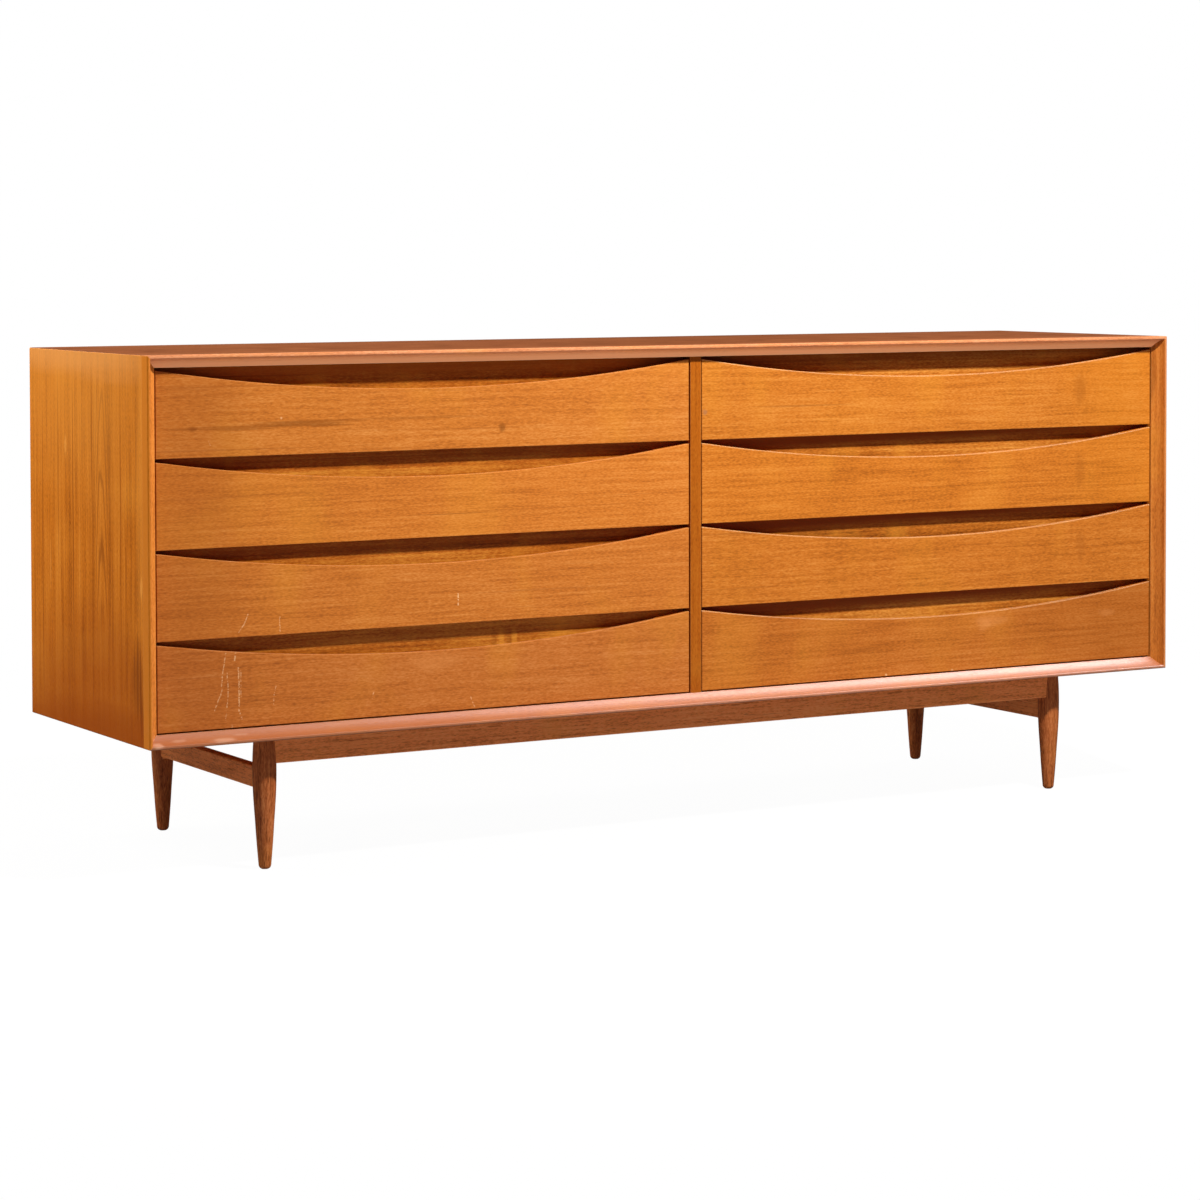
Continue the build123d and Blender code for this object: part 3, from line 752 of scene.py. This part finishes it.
side_teak = wood("side_teak", "ZYX", SIDE_COLOURS, **side_looks)
top_teak = wood("top_teak", "XYZ", TOP_COLOURS, **top_looks)
back_teak = wood("back_teak", "XZY", BACK_COLOURS, **back_looks)
divider_teak = wood("divider_teak", "ZYX", DIVIDER_COLOURS, Seed=5.0)
dress("left_side", side_teak)
dress("right_side", side_teak)
dress("top_panel", top_teak)
dress("bottom_panel", back_teak)
dress("back_panel", back_teak)
dress("centre_divider", divider_teak)
print("case dressed")

# %% [markdown]
# ## Lippings
#
# The hollowed lippings round the front are solid wood. The top one and the bottom one are paler and pinker
# than the veneer. On the top one this is painted light for a face that looks down; its hollow is the palest,
# with painted light for what a bright floor throws up, and its nose line is a painted highlight. On the
# bottom one the pink is partly painted sheen, and a wax coat gives it a sheen. The ones at the sides stay
# golden, the left one lighter as painted light and the right one darker as painted shade, with a painted
# shadow of the top one at its top. The bottom one takes most knocks, so it has scuffs at its left corner,
# and its left end is warmer and darker, which is painted shade where less sheen falls.

# %% Marks on the lippings
NOSE, RIGHT_FACE = cad_box[0][1], cad_box[1][0]
# Of these colours, the second is painted shade where less sheen falls on the bottom lipping's left end, and
# the third is painted light in the top lipping's hollow.
SCUFF, LESS_SHEEN_SHADE, HOLLOW_PAINTED_LIGHT = screen(236, 190, 160), screen(170, 92, 34), screen(250, 174, 122)
# Of these colours, the second is a painted shadow that the top lipping casts on the right one.
GOLDEN, PAINTED_SHADOW, PALE_NOSE = screen(198, 116, 30), screen(120, 60, 20), screen(232, 164, 118)
SCUFF_DEPTH, WHOLE_DEPTH = 0.02, 0.5
MIDDLE_HEIGHT = 0.49

# Painted light from below in the hollow of the top lipping.
top_hollow_light = soft_patch((0.0, NOSE, 0.762), (ENDLESS, WHOLE_DEPTH, 0.012), HOLLOW_PAINTED_LIGHT, 0.9)
bottom_marks = [
    # Painted shade: the left end is warmer and darker, where less sheen falls.
    soft_patch((LEFT_FACE, NOSE, 0.21), (0.9, WHOLE_DEPTH, 0.5), LESS_SHEEN_SHADE, 0.7),
    soft_patch((-0.935, NOSE, 0.208), (0.012, SCUFF_DEPTH, 0.006), SCUFF, 0.5),
    soft_patch((-0.900, NOSE, 0.212), (0.020, SCUFF_DEPTH, 0.004), SCUFF, 0.35),
    soft_patch((-0.830, NOSE, 0.209), (0.030, SCUFF_DEPTH, 0.004), SCUFF, 0.45),
    soft_patch((-0.800, NOSE, 0.214), (0.020, SCUFF_DEPTH, 0.003), SCUFF, 0.4),
]
left_edge = soft_patch((LEFT_FACE, NOSE, MIDDLE_HEIGHT), (0.004, WHOLE_DEPTH, ENDLESS), GOLDEN, 0.85)
right_marks = [
    # A painted shadow of the top lipping at the top of the right one.
    soft_patch((0.932, NOSE + 0.02, 0.715), (0.009, 0.03, 0.07), PAINTED_SHADOW, 0.5),
    soft_patch((RIGHT_FACE, NOSE, MIDDLE_HEIGHT), (0.006, 0.01, ENDLESS), PALE_NOSE, 0.6),
]
print(len(bottom_marks), "marks on the bottom lipping")

# %% Lippings
LIPPINGS = {
    # The top lipping's colours are raised as painted light for its face that looks down, and its cream nose
    # line is a painted highlight.
    "top_lipping": dict(
        along="XZY",
        colours=((154, 88, 54), (205, 132, 88), (222, 160, 120)),
        gloss=0.36,
        shine=0.4,
        rubs=(pale_edge_mark(0.2, PAINTED_EDGE_HIGHLIGHT, Reach=0.0015),),
        marks=[top_hollow_light],
        Seed=1.0,
    ),
    # The bottom lipping's pinker colours are partly painted sheen, beside its wax coat.
    "bottom_lipping": dict(
        along="XZY",
        colours=((128, 70, 40), (185, 113, 74), (208, 140, 100)),
        gloss=0.6,
        shine=0.9,
        wax=1.0,
        rubs=(pale_edge_mark(0.4),),
        marks=bottom_marks,
        Seed=7.0,
    ),
    # The side lippings are one wood in a lit and a shaded copy: the left one's lighter colours are painted
    # light, the right one's darker colours painted shade.
    "left_lipping": dict(
        along="ZXY",
        colours=((150, 80, 30), (215, 128, 52), (234, 156, 76)),
        gloss=0.38,
        marks=[left_edge],
        Seed=4.0,
    ),
    "right_lipping": dict(
        along="ZXY",
        colours=((130, 66, 22), (190, 110, 42), (210, 136, 64)),
        gloss=0.38,
        marks=right_marks,
        Seed=4.6,
    ),
}
for name, looks in LIPPINGS.items():
    dress(name, wood(f"{name}_teak", **looks))
print("lippings dressed")

# %% [markdown]
# ## Base
#
# The rails and the stretchers are solid teak, redder than the case, with open dark pores and the grain along
# each bar. They stand in the shade of the case, so their colours are bright. The legs get a darker finish of
# the same kind, with the grain upright.

# %% Base
RAIL_COLOURS = ((154, 82, 36), (244, 146, 82), (254, 176, 114))
LEG_COLOURS = ((102, 49, 19), (172, 94, 48), (204, 126, 74))
# The bars' pale edges are worn edges and a painted highlight of light that the floor throws up.
bar_looks = dict(gloss=0.45, rubs=(pale_edge_mark(0.6),), Pore=0.6, Line=0.5)
rail_teak = wood("rail_teak", "XZY", RAIL_COLOURS, Seed=2.5, **bar_looks)
stretcher_teak = wood("stretcher_teak", "YZX", RAIL_COLOURS, Seed=5.5, **bar_looks)
leg_teak = wood("leg_teak", "ZXY", LEG_COLOURS, gloss=0.45, Pore=0.8, Line=0.6, Fleck=0.6, Seed=9.5)
for name in ("front_rail", "rear_rail"):
    dress(name, rail_teak)
for name in ("left_stretcher", "right_stretcher"):
    dress(name, stretcher_teak)
print("base dressed")

# %% [markdown]
# ## Geometry Nodes helpers
#
# The legs and the screws are turned pieces that repeat. A tree can make one and set it on points. The points
# are the vertices of a small mesh, and an attribute on each says which way its piece looks. The tree's sizes
# are named inputs, set by identifier before the first run, and the result is read back as a plain mesh.


# %% Growing a piece
def new_tree(name, inputs):
    """A Geometry Nodes tree with named inputs. Returns it with its graph, its inputs and its output."""
    sockets = {label: (kind, None) for label, kind in inputs.items()}
    tree, graph, given, made = new_group(name, sockets, {"Geometry": "Geometry"}, "GeometryNodeTree")
    tree.is_modifier = True
    return tree, graph, given, made["Geometry"]


def grow(name, tree, places, values):
    """Run a tree on places with their outward directions. Returns the result as one plain mesh object."""
    mesh = bpy.data.meshes.new(name)
    mesh.from_pydata([spot for spot, outward in places], [], [])
    outwards = mesh.attributes.new("outward", "FLOAT_VECTOR", "POINT")
    for item, (spot, outward) in zip(outwards.data, places):
        item.vector = outward
    seedling = bpy.data.objects.new(name + "_seedling", mesh)
    scene.collection.objects.link(seedling)
    modifier = seedling.modifiers.new("grow", "NODES")
    modifier.node_group = tree
    for item in tree.interface.items_tree:
        if item.in_out == "INPUT" and item.name in values:
            modifier[item.identifier] = values[item.name]
    depsgraph = bpy.context.evaluated_depsgraph_get()
    grown = bpy.data.meshes.new_from_object(seedling.evaluated_get(depsgraph))
    seedling.modifiers.remove(modifier)
    bpy.data.objects.remove(seedling)
    piece = bpy.data.objects.new(name, grown)
    scene.collection.objects.link(piece)
    print(name, "on", len(places), "places,", len(grown.polygons), "faces")
    return piece


print("growing helpers ready")


# %% Turning and setting a piece
def turn_on_lathe(graph, curve, radius, sides):
    """Sweep a circle of changing radius along a curve and close the ends."""
    curve = graph.add("GeometryNodeSetCurveRadius", {"Curve": curve, "Radius": radius})
    ring = graph.add("GeometryNodeCurvePrimitiveCircle", {"Resolution": sides, "Radius": 1.0})
    scale = graph.add("GeometryNodeInputRadius")
    sweep = {"Curve": curve, "Profile Curve": ring, "Scale": scale, "Fill Caps": True}
    return graph.add("GeometryNodeCurveToMesh", sweep)


def set_on_places(graph, places, piece, spin, material):
    """Set a piece on every place, looking outward and spun about its axis, as one mesh with a material."""
    outward = graph.add("GeometryNodeInputNamedAttribute", {"Name": "outward"}, data_type="FLOAT_VECTOR")
    facing = graph.add("FunctionNodeAlignRotationToVector", {"Vector": outward}, axis="Z")
    twist = graph.add("FunctionNodeEulerToRotation", {0: graph.join(z=spin)})
    facing = graph.add("FunctionNodeRotateRotation", {0: facing, 1: twist}, rotation_space="LOCAL")
    setting = {"Points": places, "Instance": piece, "Rotation": facing}
    copies = graph.add("GeometryNodeInstanceOnPoints", setting)
    real = graph.add("GeometryNodeRealizeInstances", {"Geometry": copies})
    return graph.add("GeometryNodeSetMaterial", {"Geometry": real, "Material": material})


print("lathe ready")

# %% [markdown]
# ## Turned legs
#
# Each leg is turned: thin at the foot, fullest below the rail and a little slimmer at the top. One rule
# gives the radius at every height: a smooth curve through four heights, less a small rounding at the foot. A
# Float Curve node holds that curve as a woodturner's template would.

# %% Leg tree
LEG_OUTLINE = ((0.0, 0.0090), (0.064, 0.0140), (0.150, 0.0182), (0.202, 0.0160))
RING_CROWDING, FLAT_FACING = 1.5, 0.95
leg_height = LEG_OUTLINE[-1][0]
fullest = max(radius for height, radius in LEG_OUTLINE)
leg_inputs = {
    "Places": "Geometry",
    "Height": "Float",
    "Fullest Radius": "Float",
    "Foot Round": "Float",
    "Rings": "Int",
    "Sides": "Int",
    "Spin": "Float",
    "Material": "Material",
}
legs_tree, graph, given, made = new_tree("turned_legs", leg_inputs)
axis = graph.add("GeometryNodeCurvePrimitiveLine", {"Start": (0, 0, 0), "End": (0, 0, 1)})
axis = graph.add("GeometryNodeResampleCurve", {"Curve": axis, "Count": given["Rings"]})
share = graph.math("POWER", graph.add("GeometryNodeSplineParameter"), RING_CROWDING)
height = graph.math("MULTIPLY", share, given["Height"])
axis = graph.add("GeometryNodeSetPosition", {"Geometry": axis, "Position": graph.join(z=height)})
level = graph.split(graph.add("GeometryNodeInputPosition"))["Z"]
template = graph.add("ShaderNodeFloatCurve", {"Value": graph.math("DIVIDE", level, given["Height"])}).node
outline = template.mapping.curves[0]
for point, (at, radius) in zip(outline.points, (LEG_OUTLINE[0], LEG_OUTLINE[-1])):
    point.location = (at / leg_height, radius / fullest)
for at, radius in LEG_OUTLINE[1:-1]:
    outline.points.new(at / leg_height, radius / fullest)
template.mapping.update()
foot = given["Foot Round"]
below = graph.math("SUBTRACT", foot, graph.math("MINIMUM", level, foot))
rest = graph.math("SUBTRACT", graph.math("MULTIPLY", foot, foot), graph.math("MULTIPLY", below, below))
inset = graph.math("SUBTRACT", foot, graph.math("SQRT", graph.math("MAXIMUM", rest, 0.0)))
full = graph.math("MULTIPLY", template.outputs[0], given["Fullest Radius"])
leg = turn_on_lathe(graph, axis, graph.math("SUBTRACT", full, inset), given["Sides"])
facing = graph.math("ABSOLUTE", graph.split(graph.add("GeometryNodeInputNormal"))["Z"])
smooth = graph.math("SUBTRACT", 1.0, graph.math("GREATER_THAN", facing, FLAT_FACING))
leg = graph.add("GeometryNodeSetShadeSmooth", {"Geometry": leg, "Shade Smooth": smooth})
spin = graph.math("MULTIPLY", graph.add("GeometryNodeInputIndex"), given["Spin"])
graph.feed(made, set_on_places(graph, given["Places"], leg, spin, given["Material"]))
print("tree", legs_tree.name, "with", len(legs_tree.nodes), "nodes")

# %% Turned legs
UPWARD = (0, 0, 1)
leg_sizes = {
    "Height": leg_height,
    "Fullest Radius": fullest,
    "Foot Round": 0.006,
    "Rings": 72,
    "Sides": 56,
    "Spin": 0.7,
    "Material": leg_teak,
}
leg_nodes = [name for name in nodes if name.endswith("_leg")]
leg_places = []
for name in leg_nodes:
    low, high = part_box(name)
    middle_x, middle_y = [(low[axis] + high[axis]) / 2 for axis in (0, 1)]
    leg_places.append(((middle_x, middle_y, low[2]), UPWARD))
legs = grow("turned_legs", legs_tree, leg_places, leg_sizes)
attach(legs, "case")
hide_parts(*leg_nodes)

# %% [markdown]
# ## Screws
#
# Slotted screws hold the back in its rebate and the rails to the case. No two were left at the same turn, so
# each gets a random spin from a fixed seed. The screw is turned on the same lathe as the legs, and a small
# box cuts its slot.

# %% Screw steel
TARNISH_SIZE, TARNISH_LIMITS = (900, 900, 900), (0.3, 0.7)
TARNISHED, BRIGHT = screen(92, 80, 64), screen(176, 166, 148)
STEEL_ROUGHNESS = (0.55, 0.32)
steel, graph, shader = new_material("screw_steel")
here = graph.add("ShaderNodeTexCoord", out="Object")
tarnish = graph.noise(graph.vector("MULTIPLY", here, TARNISH_SIZE), seed=2.0, detail=3.0)
colour = graph.mix(tarnish, TARNISHED, BRIGHT)
rough = graph.remap(tarnish, *TARNISH_LIMITS, *STEEL_ROUGHNESS)
graph.fill(shader, {"Base Color": colour, "Roughness": rough, "Metallic": 1.0})
print("material", steel.name)

# %% Screw tree
SCREW = {
    "Head Radius": 0.00375,
    "Shank Radius": 0.002,
    "Length": 0.030,
    "Slot Width": 0.0009,
    "Slot Depth": 0.001,
}
SCREW_RINGS = 61
POINT_SLOPE, POINT_RADIUS = 0.4, 0.0001
# The slot's cutter is so many head radii long and so many slot depths high.
CUTTER_LENGTH, CUTTER_HEIGHT = 2.2, 2.0
screw_inputs = {"Places": "Geometry", **{label: "Float" for label in SCREW}}
screw_inputs |= {"Sides": "Int", "Seed": "Int", "Material": "Material"}
screws_tree, graph, given, made = new_tree("slotted_screws", screw_inputs)
tip = graph.join(z=graph.math("MULTIPLY", given["Length"], -1.0))
axis = graph.add("GeometryNodeCurvePrimitiveLine", {"Start": (0, 0, 0), "End": tip})
axis = graph.add("GeometryNodeResampleCurve", {"Curve": axis, "Count": SCREW_RINGS})
depth = graph.math("MULTIPLY", graph.split(graph.add("GeometryNodeInputPosition"))["Z"], -1.0)
cone = graph.math("SUBTRACT", given["Head Radius"], depth)
countersink = graph.math("MAXIMUM", cone, given["Shank Radius"])
left_over = graph.math("SUBTRACT", given["Length"], depth)
point = graph.math("MULTIPLY_ADD", left_over, POINT_SLOPE, POINT_RADIUS)
screw = turn_on_lathe(graph, axis, graph.math("MINIMUM", countersink, point), given["Sides"])
slot_length = graph.math("MULTIPLY", given["Head Radius"], CUTTER_LENGTH)
slot_height = graph.math("MULTIPLY", given["Slot Depth"], CUTTER_HEIGHT)
slot_size = graph.join(slot_length, given["Slot Width"], slot_height)
cutter = graph.add("GeometryNodeMeshCube", {"Size": slot_size})
screw = graph.add("GeometryNodeMeshBoolean", {0: screw, 1: cutter}, operation="DIFFERENCE", solver="EXACT")
# A Random Value node has its limits at inputs 2 and 3 and the number at output 1.
turns = {2: 0.0, 3: pi, "Seed": given["Seed"]}
spin = graph.add("FunctionNodeRandomValue", turns, out=1, data_type="FLOAT")
graph.feed(made, set_on_places(graph, given["Places"], screw, spin, given["Material"]))
print("tree", screws_tree.name, "with", len(screws_tree.nodes), "nodes")

# %% Screws
SCREW_EDGE, SCREW_GRIP = 0.005, 0.018
BACK_COLUMNS, BACK_ROWS, RAIL_SCREWS = 6, 2, 3
BACKWARD, DOWNWARD = (0, 1, 0), (0, 0, -1)


def spread(count, low, high):
    """Middles of equal shares of a stretch."""
    return [low + (k + 0.5) * (high - low) / count for k in range(count)]


low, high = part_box("left_side")[0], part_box("right_side")[1]
board, back = nodes["left_side"].dimensions[0], high[1]
inside_x, inside_z = [(low[axis] + board, high[axis] - board) for axis in (0, 2)]
edge_x, edge_z = [(near - SCREW_EDGE, far + SCREW_EDGE) for near, far in (inside_x, inside_z)]
leg_x = leg_places[0][0][0]
leg_rows = sorted({spot[1] for spot, outward in leg_places})
screw_places = []
for x in spread(BACK_COLUMNS, *inside_x):
    screw_places += [((x, back, z), BACKWARD) for z in edge_z]
for z in spread(BACK_ROWS, *inside_z):
    screw_places += [((x, back, z), BACKWARD) for x in edge_x]
for x in spread(RAIL_SCREWS, leg_x, -leg_x):
    screw_places += [((x, y, leg_height - SCREW_GRIP), DOWNWARD) for y in leg_rows]
screw_values = {**SCREW, "Sides": 20, "Seed": 11, "Material": steel}
screws = grow("slotted_screws", screws_tree, screw_places, screw_values)
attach(screws, "case")
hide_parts("wood_screws")

# %% [markdown]
# ## Drawer boxes and runners
#
# Inside, the drawers are plain pale hardwood with thin plywood bottoms, waxed and never oiled. They show
# only when a drawer is pulled, so they keep their clean colour.

# %% Drawer boxes and runners
BOX_COLOURS = ((150, 108, 66), (196, 156, 106), (216, 182, 136))
PLY_COLOURS = ((160, 118, 74), (202, 162, 112), (220, 188, 142))
RUNNER_COLOURS = ((128, 88, 52), (176, 134, 88), (198, 160, 114))
box_looks = dict(gloss=0.5, rubs=(pale_edge_mark(0.2),), Vein=0.15, Pore=0.2)
ply_looks = dict(gloss=0.5, rubs=(), Vein=0.1, Band=0.5)
BOX_FINISHES = {
    "_sides": wood("box_sides_wood", "YZX", BOX_COLOURS, Seed=12.0, **box_looks),
    "_back": wood("box_backs_wood", "XZY", BOX_COLOURS, Seed=14.0, **box_looks),
    "_bottom": wood("box_bottoms_ply", "XYZ", PLY_COLOURS, Seed=15.0, **ply_looks),
}
dress("drawer_runners", wood("runner_wood", "YZX", RUNNER_COLOURS, gloss=0.5, rubs=(), Seed=16.0))
for name in nodes:
    for ending, finish in BOX_FINISHES.items():
        if "_drawer_" in name and name.endswith(ending):
            dress(name, finish)
print("boxes dressed")

# %% [markdown]
# ## Floor
#
# The dresser stands on a plain white ground. The floor takes soft shadows near the legs and fades to pure
# white further out, so that its edge never shows. Only what the camera sees glows: for bounced light it is
# an ordinary pale floor.

# %% Floor
FLOOR_REACH = 30.0
FLOOR_COLOUR, FLOOR_ROUGHNESS = (0.36, 0.36, 0.36, 1.0), 0.9
FADE_NEAR, FADE_FAR, GLOW_NEAR = 1.0, 2.6, 0.975
CORNERS = ((-1, -1), (1, -1), (1, 1), (-1, 1))
floor_mesh = bpy.data.meshes.new("floor")
floor_points = [(x * FLOOR_REACH, y * FLOOR_REACH, 0) for x, y in CORNERS]
floor_mesh.from_pydata(floor_points, [], [(0, 1, 2, 3)])
floor = bpy.data.objects.new("floor", floor_mesh)
floor.visible_glossy = False
scene.collection.objects.link(floor)
pale_floor, graph, shader = new_material("pale_floor")
graph.fill(shader, {"Base Color": FLOOR_COLOUR, "Roughness": FLOOR_ROUGHNESS})
out = graph.vector("LENGTH", graph.add("ShaderNodeTexCoord", out="Object"), out="Value")
glow = graph.remap(out, FADE_NEAR, FADE_FAR, GLOW_NEAR, 1.0)
dim = graph.math("SUBTRACT", 1.0, glow)
matte = graph.add("ShaderNodeBsdfDiffuse", {"Color": graph.join(dim, dim, dim)})
shine = graph.add("ShaderNodeEmission", {"Strength": glow})
seen = graph.add("ShaderNodeAddShader", {0: matte, 1: shine})
looking = graph.add("ShaderNodeLightPath", out="Is Camera Ray")
surface = graph.add("ShaderNodeMixShader", {0: looking, 1: shader.outputs[0], 2: seen})
graph.fill(pale_floor.node_tree.nodes["Material Output"], {"Surface": surface})
floor_mesh.materials.append(pale_floor)
print("floor", FLOOR_REACH, "m each way")
